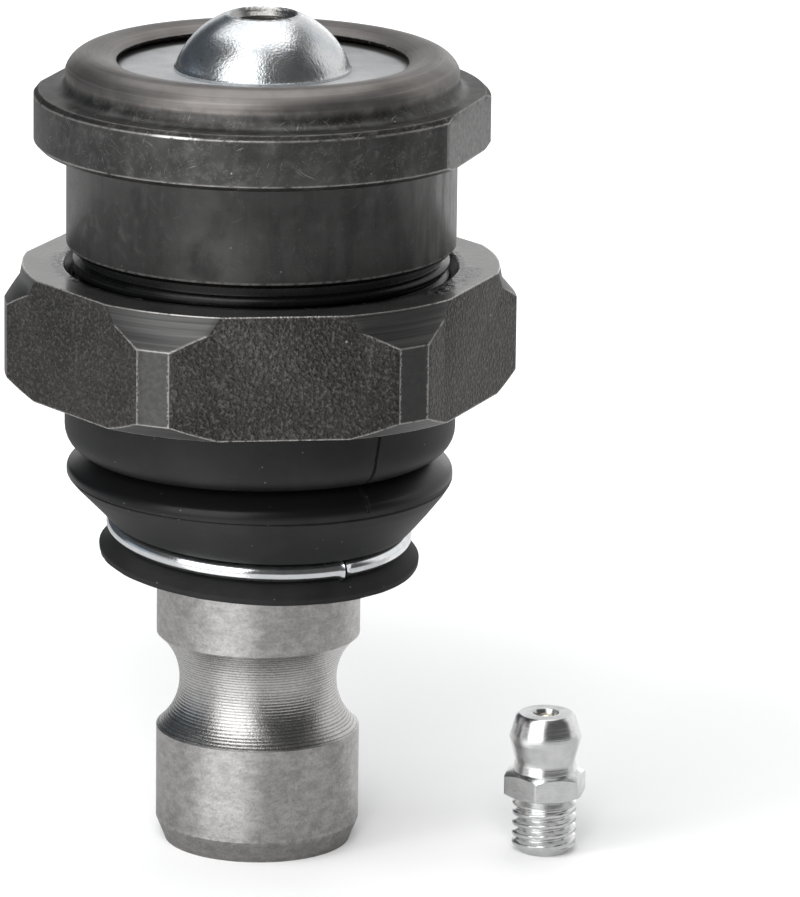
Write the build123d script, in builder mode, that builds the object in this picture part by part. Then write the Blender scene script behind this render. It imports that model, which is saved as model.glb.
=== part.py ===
from build123d import *
import os
from math import cos, radians, sin, sqrt, tan

# Suspension ball joint, in millimetres, standing on the end of its stud.
# Origin: centre of the stud's end face. +Z: along the stud, through the ball's centre.
# An angle called a bearing is measured from -Y towards +X.
# Radii build outwards from the ball and heights build up and down from its centre, so that what
# fits together stays together when one size is changed.

os.makedirs("parts", exist_ok=True)

# ---- Ball and stud -------------------------------------------------------------------------------
clamp_length = 27.0           # shank that the knuckle clamps, from the end face
neck_reach = 30.5             # from the top of the clamped shank to the ball's centre
ball_r = 12.5
ball_flat = 1.0               # depth of the flat turned on the ball's crown
stud_r = 9.5
stud_lead_r = 0.85            # lead chamfer on the end, across
stud_lead_height = 2.1
seal_land_step = 0.2          # the boot's land is ground this much under the shank
neck_r = 6.5
neck_flare = 5.0              # height over which the neck widens into the land
neck_below_mouth = 3.6        # the flare starts this far under the housing
neck_fillet = 0.5             # corner between neck and ball
pinch_z = 15.5                # centre of the pinch-bolt groove
pinch_floor_r = 5.9           # radius of the groove along the stud
pinch_depth = 2.15
swing_deg = 16.0              # each of the two swing axes, either way

# ---- Races and preload spring --------------------------------------------------------------------
ball_clearance = 0.12         # ball in its races
race_wall = 1.88
race_land = 0.46              # height of the lower race's mouth, under its sphere
race_split_gap = 0.3          # between the races, at the ball's equator
bearing_clearance = 0.05      # races in the bore
crown_opening_r = 6.5         # grease opening in the upper race
race_crown = 0.58             # upper race above that opening
channel_count = 4             # grease channels
channel_depth = 0.6
channel_width_deg = 9.0
channel_span_deg = (12.0, 55.0)
spring_thickness = 1.0
spring_rise = 2.6             # height of the disc spring
spring_margin = 0.7           # spring clear of the grease opening
spring_bore_gap = 0.25        # spring inside the bore

# ---- Housing -------------------------------------------------------------------------------------
housing_wall = 2.25           # round the bore, at the thread relief
mouth_clearance = 0.5         # room left round the neck at full swing
neck_wall = 1.8               # lower neck, at its end
neck_step = 1.18              # the thread stands this much outside the lower neck
thread_depth = 0.6            # thread's mean line above the relief; M36 x 1.5
seat_step = 0.6               # arm seat outside the thread's mean line
seat_edge = 0.4
arm_seat_length = 9.2
relief_height = 1.6
relief_lead = 0.3
flange_width = 3.0
flange_thickness = 5.1
flange_edge = 0.45
wrench_flat_depth = 0.95
wrench_bearing = 70.7         # direction that one wrench flat faces
seat_floor = 2.0              # least height of the threaded part under the race seat
neck_length = 3.9             # lower neck that carries the boot
bead_low = 1.2                # bead groove, above the neck's end
bead_height = 1.7
bead_depth = 0.6
bead_lead = 0.2
rim_wall = 2.6
rim_height = 3.4              # rolled rim above the flange
rim_rise = 1.6                # its crest above the cover
rim_crest_in = 2.1            # its crest inside its outer wall
rim_lip_over = 2.1            # its lip over the cover's edge
rim_lip_drop = 0.8
rim_lip_raise = 0.5           # the lip's edge stands off the cover
rim_grip = 0.6                # ring of the cover that the lip bears on
rim_cove = 1.1                # fillet between rim and flange
rim_round = 0.42              # how far the roll stands off its chords, outside and inside
lip_round = 0.22

# ---- Cover and boss ------------------------------------------------------------------------------
cover_thickness = 2.0
cover_seat_width = 0.95       # step in the bore that the cover rests on
cover_clearance = 0.05
cover_edge = 0.3
boss_spigot_r = 5.0
boss_base_r = 8.15
boss_height = 5.2
boss_bulge = 0.75             # the dome's outline off its chord
boss_lip_height = 0.35
boss_lip_step = 0.1
boss_stake = 0.7              # staked skirt under the cover, outside the spigot
boss_stake_height = 0.5
port_r = 2.5                  # tapping bore of the M6 grease port
port_chamfer = 0.7
port_rim = 0.1                # flat left round the port's mouth

# ---- Retaining nut -------------------------------------------------------------------------------
nut_seat_gap = 2.1            # nut's face under the arm seat, as stored
nut_height = 11.5
nut_wall = 3.84               # from the bore to the hexagon's flats
nut_corner_reach = 2.38       # turned corners outside the flats' radius
nut_face_reach = 0.74         # washer face outside it
nut_collar_spread = 0.3
nut_collar_drop = 1.6
nut_cone_drop = 3.2           # lower end of the top cone, below the washer face
nut_foot_reach = 0.79
nut_foot_rise = 1.35
nut_bearing = 5.9             # direction that one flat faces
nut_thread_clearance = 0.06
nut_thread_lead = 0.9         # countersink at each end of the thread
nut_overrun = 1.1             # the nut reaches past the lower end of the thread

# ---- Boot and its rings --------------------------------------------------------------------------
boot_gap = 0.05               # rubber to the pieces of other bodies, and at the node seams
bell_wall = 1.9
bell_top_gap = 0.2            # under the nut
bell_skirt = 2.8              # bell below the housing's end
bell_round = 2.4
boot_wall = 1.7
waist_in = 2.5                # gap between bell and fold, inside the bell
waist_drop = 0.5
waist_slope = 0.3
fold_in = 0.2
fold_drop = 2.0               # fold's widest line under the waist
fold_round = 0.3
fold_under = 0.1
cone_in = 0.5
cone_drop = 1.0
lip_gap = 0.45                # boot's lip above the clamped shank
wire_r = 0.82
wire_rise = 2.65              # centre of the wire ring above the lip's edge
wire_out = 4.1                # wire's centre line outside the seal land
wire_bearing = 35.0           # where the ring's ends meet
wire_end_gap_deg = 2.0
shoulder_out = 0.85           # foot of the cone outside the wire's centre line
shoulder_rise = 0.1
lip_out = 1.5
lip_edge = 0.6
lip_taper = 0.1
seal_rise = 1.7               # top of the sealing bore above the wire's centre
seal_floor = 2.0              # width of the floor inside the boot
ring_in = 0.55                # steel collar ring outside the housing's lower neck
ring_wall = 0.65
ring_rise = 0.4

# ---- Grease fitting, standing loose beside the joint ---------------------------------------------
fitting_x = 26.85
fitting_y = -4.1
fit_thread_r = 3.0
fit_core_r = 2.45
fit_lead_across = 0.8
fit_lead_height = 0.8
fit_thread_length = 4.8
fit_runout = 0.3
fit_relief = 0.6              # height of the relief under the hexagon, with its run-out
fit_hex_height = 2.5
fit_hex_af = 7.0
fit_hex_edge = 0.45
fit_hex_round = 0.35
fit_hex_bearing = 16.5        # direction that one flat faces
fit_neck_r = 2.8
fit_neck_height = 1.0
fit_neck_flare = 0.2          # the neck's foot outside its waist
fit_head_r = 3.36
fit_head_low = 2.25           # lower cone of the head
fit_head_high = 2.25          # upper cone of the head
fit_top_r = 2.5
fit_top_edge = 0.28           # chamfer round the top
fit_bore_r = 1.35
fit_bore_low = 5.0
fit_mouth_r = 1.0
fit_mouth_depth = 0.6
fit_mouth_flare = 0.25
fit_passage_r = 0.6
check_ball_r = 1.2
check_clearance = 0.03
fit_seat_thickness = 0.6
fit_spring_r = 0.95
fit_spring_wire_r = 0.16
fit_spring_turns = 4

# ---- Worked-out radii ----------------------------------------------------------------------------
ball_z = clamp_length + neck_reach
full_swing = radians(swing_deg * sqrt(2))     # both swings together
race_r = ball_r + ball_clearance
bearing_r = race_r + race_wall
bore_r = bearing_r + bearing_clearance
neck_room = neck_r / cos(full_swing) + mouth_clearance


def mouth_r(height):
    """Radius that clears the neck at full swing, at a height below the ball."""
    return (ball_z - height) * tan(full_swing) + neck_room


def shell_r(radius, height):
    """Radius of a sphere round the ball's centre at a height."""
    return sqrt(radius ** 2 - (height - ball_z) ** 2)


# ---- Worked-out heights, from the ball up --------------------------------------------------------
upper_race_top = ball_z + sqrt(race_r ** 2 - crown_opening_r ** 2) + race_crown
cover_low = upper_race_top + spring_rise
cover_top = cover_low + cover_thickness
rim_crest_z = cover_top + rim_rise
flange_high = rim_crest_z - rim_height
flange_low = flange_high - flange_thickness
arm_seat_low = flange_low - arm_seat_length
thread_high = arm_seat_low - relief_height
nut_high = arm_seat_low - nut_seat_gap
nut_low = nut_high - nut_height

# The lower race ends where its sphere meets the mouth: (depth * slope + neck_room)^2 + depth^2 = race_r^2
slope = tan(full_swing)
race_edge_depth = (sqrt((neck_room * slope) ** 2 + (1 + slope ** 2) * (race_r ** 2 - neck_room ** 2))
                   - neck_room * slope) / (1 + slope ** 2)
bearing_seat_z = ball_z - race_edge_depth - race_land
seat_opening_r = mouth_r(bearing_seat_z)

# The thread runs down almost to the nut's end, and past the floor under the races
thread_low = min(nut_low + nut_overrun, bearing_seat_z - seat_floor)
housing_low = thread_low - neck_length

# The lower neck wraps the mouth, and the thread clears both it and the wall round the bore
boot_neck_r = mouth_r(housing_low) + neck_wall
thread_r = max(bore_r + housing_wall + thread_depth, boot_neck_r + neck_step)
relief_r = thread_r - thread_depth
arm_seat_r = thread_r + seat_step
flange_r = arm_seat_r + flange_width
cover_r = bore_r + cover_seat_width
rim_r = cover_r + rim_wall
bead_r = boot_neck_r - bead_depth
nut_bore_r = thread_r + nut_thread_clearance
nut_flat_r = nut_bore_r + nut_wall

# Boot: the bell hangs from the housing's lower neck, the lip grips the stud's land
seal_land_r = stud_r - seal_land_step
neck_low = housing_low - neck_below_mouth
bell_r = boot_neck_r + bell_wall
bell_top = thread_low - nut_overrun - bell_top_gap
bell_low = housing_low - bell_skirt
waist_r = bell_r - waist_in
waist_z = bell_low - waist_drop
fold_r = bell_r - fold_in
fold_z = waist_z - fold_drop
cone_top_r = fold_r - cone_in
cone_top_z = fold_z - cone_drop
lip_low = clamp_length + lip_gap
wire_z = lip_low + wire_rise
wire_ring_r = seal_land_r + wire_out
collar_ring_in = boot_neck_r + ring_in
collar_ring_out = collar_ring_in + ring_wall
collar_ring_low = housing_low + ring_rise

# Fitting
fit_hex_low = fit_thread_length + fit_relief
fit_hex_high = fit_hex_low + fit_hex_height
fit_neck_z = fit_hex_high + fit_neck_height
fit_head_z = fit_neck_z + fit_head_low
fit_height = fit_head_z + fit_head_high
fit_mouth_low = fit_height - fit_mouth_depth
check_ball_z = fit_mouth_low - sqrt(check_ball_r ** 2 - fit_mouth_r ** 2) - check_clearance
fitting_axis = Axis((fitting_x, fitting_y, 0), (0, 0, 1))
fitting_plane = Plane(origin=(fitting_x, fitting_y, 0), x_dir=(1, 0, 0), z_dir=(0, -1, 0))


def half_plane(bearing):
    """The upright plane through the joint's axis whose local x points out at a bearing."""
    out = Vector(sin(radians(bearing)), -cos(radians(bearing)), 0)
    return Plane(origin=(0, 0, 0), x_dir=out, z_dir=out.cross(Vector(0, 0, 1)))


def bulged(start, end, height):
    """Three points of an arc from start to end that stands off its chord, to the left of it."""
    (r0, z0), (r1, z1) = start, end
    length = sqrt((r1 - r0) ** 2 + (z1 - z0) ** 2)
    middle = ((r0 + r1) / 2 - height * (z1 - z0) / length, (z0 + z1) / 2 + height * (r1 - r0) / length)
    return start, middle, end


def on_shell(radius, angle):
    """A point of a sphere round the ball's centre, at an angle above its equator."""
    return radius * cos(radians(angle)), ball_z + radius * sin(radians(angle))


# ---- Ball stud -----------------------------------------------------------------------------------
def make_ball_stud():
    pinch_half = sqrt(pinch_floor_r ** 2 - (pinch_floor_r - pinch_depth) ** 2)
    groove = [(stud_r, pinch_z - pinch_half), (stud_r - pinch_depth, pinch_z), (stud_r, pinch_z + pinch_half)]
    crown_z = ball_z + ball_r - ball_flat
    crown = (shell_r(ball_r, crown_z), crown_z)
    neck_high = ball_z - sqrt(ball_r ** 2 - neck_r ** 2)
    with BuildPart() as ball_stud:
        with BuildSketch(Plane.XZ):
            with BuildLine():
                Polyline(crown, (0, crown_z), (0, 0), (stud_r - stud_lead_r, 0), (stud_r, stud_lead_height),
                         groove[0])
                ThreePointArc(*groove)
                Polyline(groove[2], (stud_r, clamp_length), (seal_land_r, clamp_length + seal_land_step),
                         (seal_land_r, neck_low - neck_flare), (neck_r, neck_low), (neck_r, neck_high))
                ThreePointArc((neck_r, neck_high), (ball_r, ball_z), crown)
            make_face()
        revolve(axis=Axis.Z)
        neck_corner = ball_stud.edges().filter_by(GeomType.CIRCLE).filter_by(
            lambda edge: abs(edge.center().Z - neck_high) < neck_fillet / 10)
        fillet(neck_corner, radius=neck_fillet)
    ball_stud.part.label = "ball_stud"
    return ball_stud.part


# ---- Housing -------------------------------------------------------------------------------------
def make_housing():
    bead_z = housing_low + bead_low
    pocket_r = cover_r + cover_clearance
    cove_top = (rim_r, flange_high + rim_cove)
    cove_foot = (rim_r + rim_cove, flange_high)
    rim_shoulder = (rim_r, rim_crest_z - rim_rise)
    rim_crest = (rim_r - rim_crest_in, rim_crest_z)
    lip_edge_point = (cover_r - rim_lip_over, rim_crest_z - rim_lip_drop)
    lip_under = (cover_r - rim_lip_over + rim_lip_raise / 2, cover_top + rim_lip_raise)
    with BuildPart() as housing:
        with BuildSketch(Plane.XZ):
            with BuildLine():
                Polyline((mouth_r(housing_low), housing_low), (boot_neck_r, housing_low),
                         (boot_neck_r, bead_z), (bead_r, bead_z + bead_lead),
                         (bead_r, bead_z + bead_height), (boot_neck_r, thread_low),
                         (thread_r, thread_low + thread_r - boot_neck_r), (thread_r, thread_high),
                         (relief_r, thread_high + relief_lead), (relief_r, arm_seat_low - seat_edge),
                         (arm_seat_r - seat_edge, arm_seat_low - seat_edge),
                         (arm_seat_r, arm_seat_low), (arm_seat_r, flange_low),
                         (flange_r - flange_edge, flange_low), (flange_r, flange_low + flange_edge),
                         (flange_r, flange_high - flange_edge), (flange_r - flange_edge, flange_high),
                         cove_foot)
                RadiusArc(cove_foot, cove_top, rim_cove)
                Line(cove_top, rim_shoulder)
                ThreePointArc(*bulged(rim_shoulder, rim_crest, -rim_round))
                ThreePointArc(*bulged(rim_crest, lip_edge_point, -lip_round))
                Polyline(lip_edge_point, lip_under, (cover_r - rim_grip, cover_top), (pocket_r, cover_top),
                         (pocket_r, cover_low), (bore_r, cover_low), (bore_r, bearing_seat_z),
                         (seat_opening_r, bearing_seat_z), (mouth_r(housing_low), housing_low))
            make_face()
        revolve(axis=Axis.Z)
        with BuildSketch(Plane.XY.offset(flange_low)):
            with PolarLocations(flange_r - wrench_flat_depth / 2, 2, start_angle=wrench_bearing - 90):
                Rectangle(wrench_flat_depth, 2 * flange_r)
        extrude(amount=flange_thickness, mode=Mode.SUBTRACT)
    housing.part.label = "housing"
    return housing.part


# ---- Races and preload spring --------------------------------------------------------------------
def make_lower_bearing():
    race_low = ball_z - race_edge_depth
    top = ball_z - race_split_gap / 2
    mouth = (seat_opening_r, ball_z - sqrt(race_r ** 2 - seat_opening_r ** 2))
    with BuildPart() as lower_bearing:
        with BuildSketch(Plane.XZ):
            with BuildLine():
                Polyline(mouth, (seat_opening_r, bearing_seat_z), (bearing_r, bearing_seat_z),
                         (bearing_r, top), (shell_r(race_r, top), top))
                middle_z = (top + race_low) / 2
                ThreePointArc((shell_r(race_r, top), top), (shell_r(race_r, middle_z), middle_z), mouth)
            make_face()
        revolve(axis=Axis.Z)
    lower_bearing.part.label = "lower_bearing"
    return lower_bearing.part


def make_upper_bearing():
    low = ball_z + race_split_gap / 2
    race_high = upper_race_top - race_crown
    middle_z = (low + race_high) / 2
    floor_r, roof_r = race_r + channel_depth, race_r - channel_depth
    first, last = channel_span_deg
    middle = (first + last) / 2
    with BuildPart() as upper_bearing:
        with BuildSketch(Plane.XZ):
            with BuildLine():
                Polyline((crown_opening_r, race_high), (crown_opening_r, upper_race_top),
                         (bearing_r, upper_race_top), (bearing_r, low), (shell_r(race_r, low), low))
                ThreePointArc((shell_r(race_r, low), low), (shell_r(race_r, middle_z), middle_z),
                              (crown_opening_r, race_high))
            make_face()
        revolve(axis=Axis.Z)
        for number in range(channel_count):
            with BuildSketch(half_plane(360 / channel_count * number)):
                with BuildLine():
                    ThreePointArc(on_shell(roof_r, first), on_shell(roof_r, middle), on_shell(roof_r, last))
                    Line(on_shell(roof_r, last), on_shell(floor_r, last))
                    ThreePointArc(on_shell(floor_r, last), on_shell(floor_r, middle),
                                  on_shell(floor_r, first))
                    Line(on_shell(floor_r, first), on_shell(roof_r, first))
                make_face()
            revolve(axis=Axis.Z, revolution_arc=channel_width_deg, mode=Mode.SUBTRACT)
    upper_bearing.part.label = "upper_bearing"
    return upper_bearing.part


def make_preload_spring():
    inner_r = crown_opening_r + spring_margin
    outer_r = bearing_r - spring_bore_gap
    with BuildPart() as preload_spring:
        with BuildSketch(Plane.XZ):
            with BuildLine():
                Polyline((outer_r, upper_race_top), (outer_r, upper_race_top + spring_thickness),
                         (inner_r, cover_low), (inner_r, cover_low - spring_thickness), close=True)
            make_face()
        revolve(axis=Axis.Z)
    preload_spring.part.label = "preload_spring"
    return preload_spring.part


# ---- Cover and grease boss -----------------------------------------------------------------------
def make_cover_plate():
    with BuildPart() as cover_plate:
        with BuildSketch(Plane.XY.offset(cover_low)):
            Circle(cover_r)
            Circle(boss_spigot_r + cover_clearance, mode=Mode.SUBTRACT)
        extrude(amount=cover_thickness)
        rims = cover_plate.edges().filter_by(GeomType.CIRCLE).sort_by(SortBy.RADIUS)[-2:]
        chamfer(rims, length=cover_edge)
    cover_plate.part.label = "cover_plate"
    return cover_plate.part


def make_grease_boss():
    top_z = cover_top + boss_height
    mouth = port_r + port_chamfer
    stake_low = cover_low - boss_stake_height
    lip_top = cover_top + boss_lip_height
    dome_low = (boss_base_r - boss_lip_step, lip_top)
    dome_high = (mouth + port_rim, top_z)
    with BuildPart() as grease_boss:
        with BuildSketch(Plane.XZ):
            with BuildLine():
                Polyline(dome_low, (boss_base_r, lip_top - boss_lip_step), (boss_base_r, cover_top),
                         (boss_spigot_r, cover_top), (boss_spigot_r, cover_low),
                         (boss_spigot_r + boss_stake, cover_low), (boss_spigot_r, stake_low),
                         (port_r, stake_low), (port_r, top_z - port_chamfer), (mouth, top_z), dome_high)
                ThreePointArc(*bulged(dome_low, dome_high, -boss_bulge))
            make_face()
        revolve(axis=Axis.Z)
    grease_boss.part.label = "grease_boss"
    return grease_boss.part


# ---- Retaining nut: a turned blank, cut to a hexagon ---------------------------------------------
def make_retaining_nut():
    corner_r = nut_flat_r + nut_corner_reach
    face_r = nut_flat_r + nut_face_reach
    with BuildPart() as retaining_nut:
        with BuildSketch(Plane.XZ):
            with BuildLine():
                Polyline((nut_bore_r, nut_low + nut_thread_lead), (nut_bore_r + nut_thread_lead, nut_low),
                         (nut_flat_r + nut_foot_reach, nut_low), (corner_r, nut_low + nut_foot_rise),
                         (corner_r, nut_high - nut_cone_drop),
                         (face_r + nut_collar_spread, nut_high - nut_collar_drop), (face_r, nut_high),
                         (nut_bore_r + nut_thread_lead, nut_high),
                         (nut_bore_r, nut_high - nut_thread_lead), close=True)
            make_face()
        revolve(axis=Axis.Z)
        with BuildSketch(Plane.XY.offset(nut_low)):
            RegularPolygon(nut_flat_r, 6, major_radius=False, rotation=nut_bearing)
        extrude(amount=nut_height, mode=Mode.INTERSECT)
    retaining_nut.part.label = "retaining_nut"
    return retaining_nut.part


# ---- Boot: one moulding, cut into three nodes at its waist and under its fold --------------------
def make_boot_bell():
    inner_r = boot_neck_r + boot_gap
    inner_bead_r = bead_r + boot_gap
    bead_z = housing_low + bead_low
    round_start = (bell_r, bell_low + bell_round)
    round_end = (bell_r - bell_round, bell_low)
    with BuildPart() as boot_bell:
        with BuildSketch(Plane.XZ):
            with BuildLine():
                Line((bell_r, bell_top), round_start)
                RadiusArc(round_start, round_end, bell_round)
                Polyline(round_end, (waist_r, waist_z), (waist_r - boot_wall, waist_z - waist_slope),
                         (inner_r, housing_low - ring_rise), (inner_r, bead_z),
                         (inner_bead_r, bead_z + bead_lead + boot_gap), (inner_bead_r, bell_top),
                         (bell_r, bell_top))
            make_face()
        revolve(axis=Axis.Z)
        with BuildSketch(Plane.XY.offset(collar_ring_low)):
            Circle(collar_ring_out)
            Circle(collar_ring_in, mode=Mode.SUBTRACT)
        extrude(amount=bell_top - collar_ring_low, mode=Mode.SUBTRACT)
    boot_bell.part.label = "boot_bell"
    return boot_bell.part


def make_boot_fold():
    outer_waist = (waist_r, waist_z - boot_gap)
    inner_waist = (waist_r - boot_wall, waist_z - waist_slope - boot_gap)
    tip = (fold_r, fold_z)
    outer_foot = (cone_top_r, cone_top_z)
    with BuildPart() as boot_fold:
        with BuildSketch(Plane.XZ):
            with BuildLine():
                ThreePointArc(*bulged(outer_waist, tip, fold_round))
                ThreePointArc(*bulged(tip, outer_foot, fold_under))
                Polyline(outer_foot, (cone_top_r - boot_wall, cone_top_z), (fold_r - boot_wall, fold_z),
                         inner_waist, outer_waist)
            make_face()
        revolve(axis=Axis.Z)
    boot_fold.part.label = "boot_fold"
    return boot_fold.part


def make_boot_cone():
    top = cone_top_z - boot_gap
    groove_r = wire_r + boot_gap
    seal_r = seal_land_r + boot_gap
    seal_top = wire_z + seal_rise
    lip_r = wire_ring_r + lip_out
    groove_high = (wire_ring_r, wire_z + groove_r)
    groove_low = (wire_ring_r, wire_z - groove_r)
    with BuildPart() as boot_cone:
        with BuildSketch(Plane.XZ):
            with BuildLine():
                Polyline((cone_top_r, top), (wire_ring_r + shoulder_out, wire_z + groove_r + shoulder_rise),
                         groove_high)
                ThreePointArc(groove_high, (wire_ring_r - groove_r, wire_z), groove_low)
                Polyline(groove_low, (lip_r, lip_low + lip_edge), (lip_r - lip_taper, lip_low),
                         (seal_r, lip_low), (seal_r, seal_top), (seal_r + seal_floor, seal_top),
                         (cone_top_r - boot_wall, top), (cone_top_r, top))
            make_face()
        revolve(axis=Axis.Z)
    boot_cone.part.label = "boot_cone"
    return boot_cone.part


def make_wire_ring():
    with BuildPart() as wire_ring:
        with BuildSketch(half_plane(wire_bearing + wire_end_gap_deg / 2)):
            with Locations((wire_ring_r, wire_z)):
                Circle(wire_r)
        revolve(axis=Axis.Z, revolution_arc=360 - wire_end_gap_deg)
    wire_ring.part.label = "boot_wire_ring"
    return wire_ring.part


def make_collar_ring():
    with BuildPart() as collar_ring:
        with BuildSketch(Plane.XY.offset(collar_ring_low + boot_gap)):
            Circle(collar_ring_out - boot_gap)
            Circle(collar_ring_in + boot_gap, mode=Mode.SUBTRACT)
        extrude(amount=bell_top - collar_ring_low - boot_gap)
    collar_ring.part.label = "boot_collar_ring"
    return collar_ring.part


# ---- Grease fitting ------------------------------------------------------------------------------
def make_fitting_body():
    corner_r = fit_hex_af / 2 / cos(radians(30))
    bore_high = fit_mouth_low - (fit_bore_r - fit_mouth_r)
    with BuildPart() as fitting_body:
        with BuildSketch(fitting_plane):
            with BuildLine():
                Polyline((fit_bore_r, fit_bore_low), (fit_passage_r, fit_bore_low), (fit_passage_r, 0),
                         (fit_thread_r - fit_lead_across, 0), (fit_thread_r, fit_lead_height),
                         (fit_thread_r, fit_thread_length), (fit_core_r, fit_thread_length + fit_runout),
                         (fit_core_r, fit_hex_low), (fit_neck_r + fit_neck_flare, fit_hex_low),
                         (fit_neck_r + fit_neck_flare, fit_hex_high), (fit_neck_r, fit_neck_z),
                         (fit_head_r, fit_head_z), (fit_top_r + fit_top_edge, fit_height - fit_top_edge),
                         (fit_top_r, fit_height),
                         (fit_mouth_r + fit_mouth_flare, fit_height), (fit_mouth_r, fit_mouth_low),
                         (fit_bore_r, bore_high), close=True)
            make_face()
        revolve(axis=fitting_axis)
        with BuildSketch(Plane.XY.offset(fit_hex_low)):
            with Locations((fitting_x, fitting_y)):
                RegularPolygon(fit_hex_af / 2, 6, major_radius=False, rotation=fit_hex_bearing)
                fillet(vertices(), fit_hex_round)
                Circle((fit_bore_r + fit_core_r) / 2, mode=Mode.SUBTRACT)
        extrude(amount=fit_hex_height)
        for face_z, inwards in ((fit_hex_low, 1), (fit_hex_high, -1)):
            with BuildSketch(fitting_plane):
                with BuildLine():
                    Polyline((corner_r - 2 * fit_hex_edge, face_z), (corner_r + fit_hex_edge, face_z),
                             (corner_r + fit_hex_edge, face_z + inwards * 1.5 * fit_hex_edge), close=True)
                make_face()
            revolve(axis=fitting_axis, mode=Mode.SUBTRACT)
    fitting_body.part.label = "fitting_body"
    return fitting_body.part


def make_fitting_seat():
    with BuildPart() as fitting_seat:
        with BuildSketch(Plane.XY.offset(fit_bore_low)):
            with Locations((fitting_x, fitting_y)):
                Circle(fit_bore_r - check_clearance)
                Circle(fit_passage_r, mode=Mode.SUBTRACT)
        extrude(amount=fit_seat_thickness)
    fitting_seat.part.label = "fitting_spring_seat"
    return fitting_seat.part


def make_fitting_spring():
    reach = check_ball_r + fit_spring_wire_r + check_clearance
    low = fit_bore_low + fit_seat_thickness + fit_spring_wire_r + check_clearance
    height = check_ball_z - sqrt(reach ** 2 - fit_spring_r ** 2) - low
    with BuildPart() as fitting_spring:
        with BuildLine(Plane(origin=(fitting_x, fitting_y, low))) as coil:
            Helix(pitch=height / fit_spring_turns, height=height, radius=fit_spring_r)
        with BuildSketch(Plane(origin=coil.line @ 0, z_dir=coil.line % 0)):
            RegularPolygon(fit_spring_wire_r, 6)
        sweep(path=coil.line, is_frenet=True)
    fitting_spring.part.label = "fitting_spring"
    return fitting_spring.part


def make_check_ball():
    with BuildPart() as check_ball:
        with Locations((fitting_x, fitting_y, check_ball_z)):
            Sphere(check_ball_r)
    check_ball.part.label = "fitting_check_ball"
    return check_ball.part


for make in (make_ball_stud, make_housing, make_lower_bearing, make_upper_bearing, make_preload_spring,
             make_cover_plate, make_grease_boss, make_retaining_nut, make_boot_bell, make_boot_fold,
             make_boot_cone, make_wire_ring, make_collar_ring, make_fitting_body, make_fitting_seat,
             make_fitting_spring, make_check_ball):
    piece = make()
    export_step(piece, f"parts/{piece.label}.step")
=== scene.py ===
"""Suspension ball joint standing on its stud, with its grease fitting beside it."""
import math

import bmesh
import bpy
from mathutils import Matrix, Vector


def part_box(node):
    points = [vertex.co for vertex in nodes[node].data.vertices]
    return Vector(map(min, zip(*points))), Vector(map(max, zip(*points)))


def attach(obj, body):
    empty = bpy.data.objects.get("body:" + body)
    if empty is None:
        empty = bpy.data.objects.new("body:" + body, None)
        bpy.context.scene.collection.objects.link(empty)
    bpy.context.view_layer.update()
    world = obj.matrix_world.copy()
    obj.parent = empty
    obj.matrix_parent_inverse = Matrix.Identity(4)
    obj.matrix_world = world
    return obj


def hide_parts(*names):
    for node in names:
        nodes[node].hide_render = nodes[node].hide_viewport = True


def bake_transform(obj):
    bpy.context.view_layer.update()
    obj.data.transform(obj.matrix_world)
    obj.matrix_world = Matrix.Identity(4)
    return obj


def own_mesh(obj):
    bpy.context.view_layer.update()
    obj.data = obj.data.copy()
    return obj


MM = 0.001

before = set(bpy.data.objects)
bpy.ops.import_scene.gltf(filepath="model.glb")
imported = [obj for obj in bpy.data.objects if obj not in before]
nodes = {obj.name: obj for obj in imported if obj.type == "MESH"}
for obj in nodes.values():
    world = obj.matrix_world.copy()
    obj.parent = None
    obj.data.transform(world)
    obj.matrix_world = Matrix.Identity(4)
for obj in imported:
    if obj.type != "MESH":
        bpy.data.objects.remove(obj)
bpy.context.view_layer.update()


def edges_of(node):
    """Lowest and highest corner of a node, in millimetres."""
    low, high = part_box(node)
    return low / MM, high / MM


# ---- Sizes in millimetres and bearings in degrees, from the frame and its surfaces' steps --------
_, housing_high = edges_of("housing")
nut_low, nut_high = edges_of("retaining_nut")
bell_low, bell_high = edges_of("boot_bell")
fold_low, fold_high = edges_of("boot_fold")
cone_low, _ = edges_of("boot_cone")
ring_low, ring_high = edges_of("boot_wire_ring")
collar_low, collar_high = edges_of("boot_collar_ring")
boss_low, boss_high = edges_of("grease_boss")
stud_low, _ = edges_of("ball_stud")

RIM_HEIGHT = 3.4
FLANGE_THICKNESS = 5.1
FLANGE_STEP = 3.0
SEAT_LENGTH = 9.2
SEAT_STEP = 0.6
UNDERCUT = 1.6
WRENCH_BEARING = 70.7
WRENCH_R = 20.0

RIM_CREST = housing_high.z
FLANGE_TOP = RIM_CREST - RIM_HEIGHT
FLANGE_FOOT = FLANGE_TOP - FLANGE_THICKNESS
SEAT_FOOT = FLANGE_FOOT - SEAT_LENGTH
FLANGE_R = housing_high.x
SEAT_R = FLANGE_R - FLANGE_STEP
RIM_MOUTH_R = SEAT_R - 3.0
THREAD_R = SEAT_R - SEAT_STEP
THREAD_HIGH = SEAT_FOOT - UNDERCUT
THREAD_LOW = nut_low.z + 1.1
THREAD_PITCH = 1.5
THREAD_DEPTH = 0.55

NUT_BEARING = 5.9
NUT_BORE_R = THREAD_R + 0.06
NUT_FLAT_R = NUT_BORE_R + 3.84
NUT_CORNER = 2.2

PORT_R = 2.5
PORT_PITCH = 1.0
PORT_DEPTH = 0.5

STUD_R = 9.5
STUD_CHAMFER = 2.1
GROOVE_Z = 15.5
GROOVE_HALF = 5.2
TURNING_PITCH = 0.27

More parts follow.
